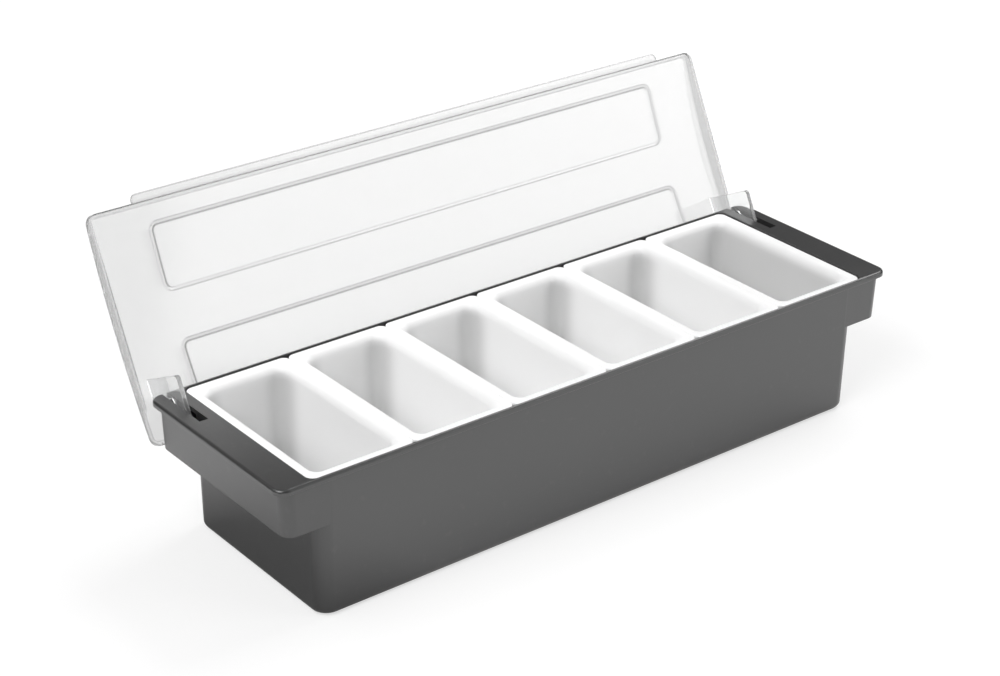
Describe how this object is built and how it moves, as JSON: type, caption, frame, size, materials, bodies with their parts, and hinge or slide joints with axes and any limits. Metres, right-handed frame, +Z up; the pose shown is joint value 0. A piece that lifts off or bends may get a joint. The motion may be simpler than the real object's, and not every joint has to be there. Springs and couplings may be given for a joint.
{
  "type": "condiment caddy",
  "caption": "Open countertop tub with hollow end wings, a row of lift-out white inserts and one clear domed lid that swings back on two gooseneck hinge arms.",
  "frame": {"origin": "centre of the tub's flat underside, on the table", "axes": "+Z up, +X along the row of inserts to the right as seen from the front, -Y towards the front, where the lid's grip comes down"},
  "size_m": [0.5, 0.2134, 0.2031],
  "materials": {
    "base_plastic": "charcoal grey moulded plastic with a satin sheen",
    "clear_plastic": "clear polished plastic",
    "insert_plastic": "white satin plastic",
    "pin_steel": "drawn steel rod"
  },
  "bodies": {
    "base": {"base_tub": "base_plastic", "hinge_pin_left": "pin_steel", "hinge_pin_right": "pin_steel"},
    "lid": {"lid": "clear_plastic", "hinge_arm_left": "clear_plastic", "hinge_arm_right": "clear_plastic"},
    "insert_1": {"insert_1": "insert_plastic"},
    "insert_2": {"insert_2": "insert_plastic"},
    "insert_3": {"insert_3": "insert_plastic"},
    "insert_4": {"insert_4": "insert_plastic"},
    "insert_5": {"insert_5": "insert_plastic"},
    "insert_6": {"insert_6": "insert_plastic"}
  },
  "joints": [
    {"name": "lid_hinge", "type": "hinge", "parent": "base", "child": "lid", "pos_m": [0, 0.06107, 0.08395], "axis": [-1, 0, 0], "range_deg": [-116.7, 0]},
    {"name": "insert_1_lift", "type": "slide", "parent": "base", "child": "insert_1", "axis": [0, 0, 1], "range_m": [0, 0.09]},
    {"name": "insert_2_lift", "type": "slide", "parent": "base", "child": "insert_2", "axis": [0, 0, 1], "range_m": [0, 0.09]},
    {"name": "insert_3_lift", "type": "slide", "parent": "base", "child": "insert_3", "axis": [0, 0, 1], "range_m": [0, 0.09]},
    {"name": "insert_4_lift", "type": "slide", "parent": "base", "child": "insert_4", "axis": [0, 0, 1], "range_m": [0, 0.09]},
    {"name": "insert_5_lift", "type": "slide", "parent": "base", "child": "insert_5", "axis": [0, 0, 1], "range_m": [0, 0.09]},
    {"name": "insert_6_lift", "type": "slide", "parent": "base", "child": "insert_6", "axis": [0, 0, 1], "range_m": [0, 0.09]}
  ]
}
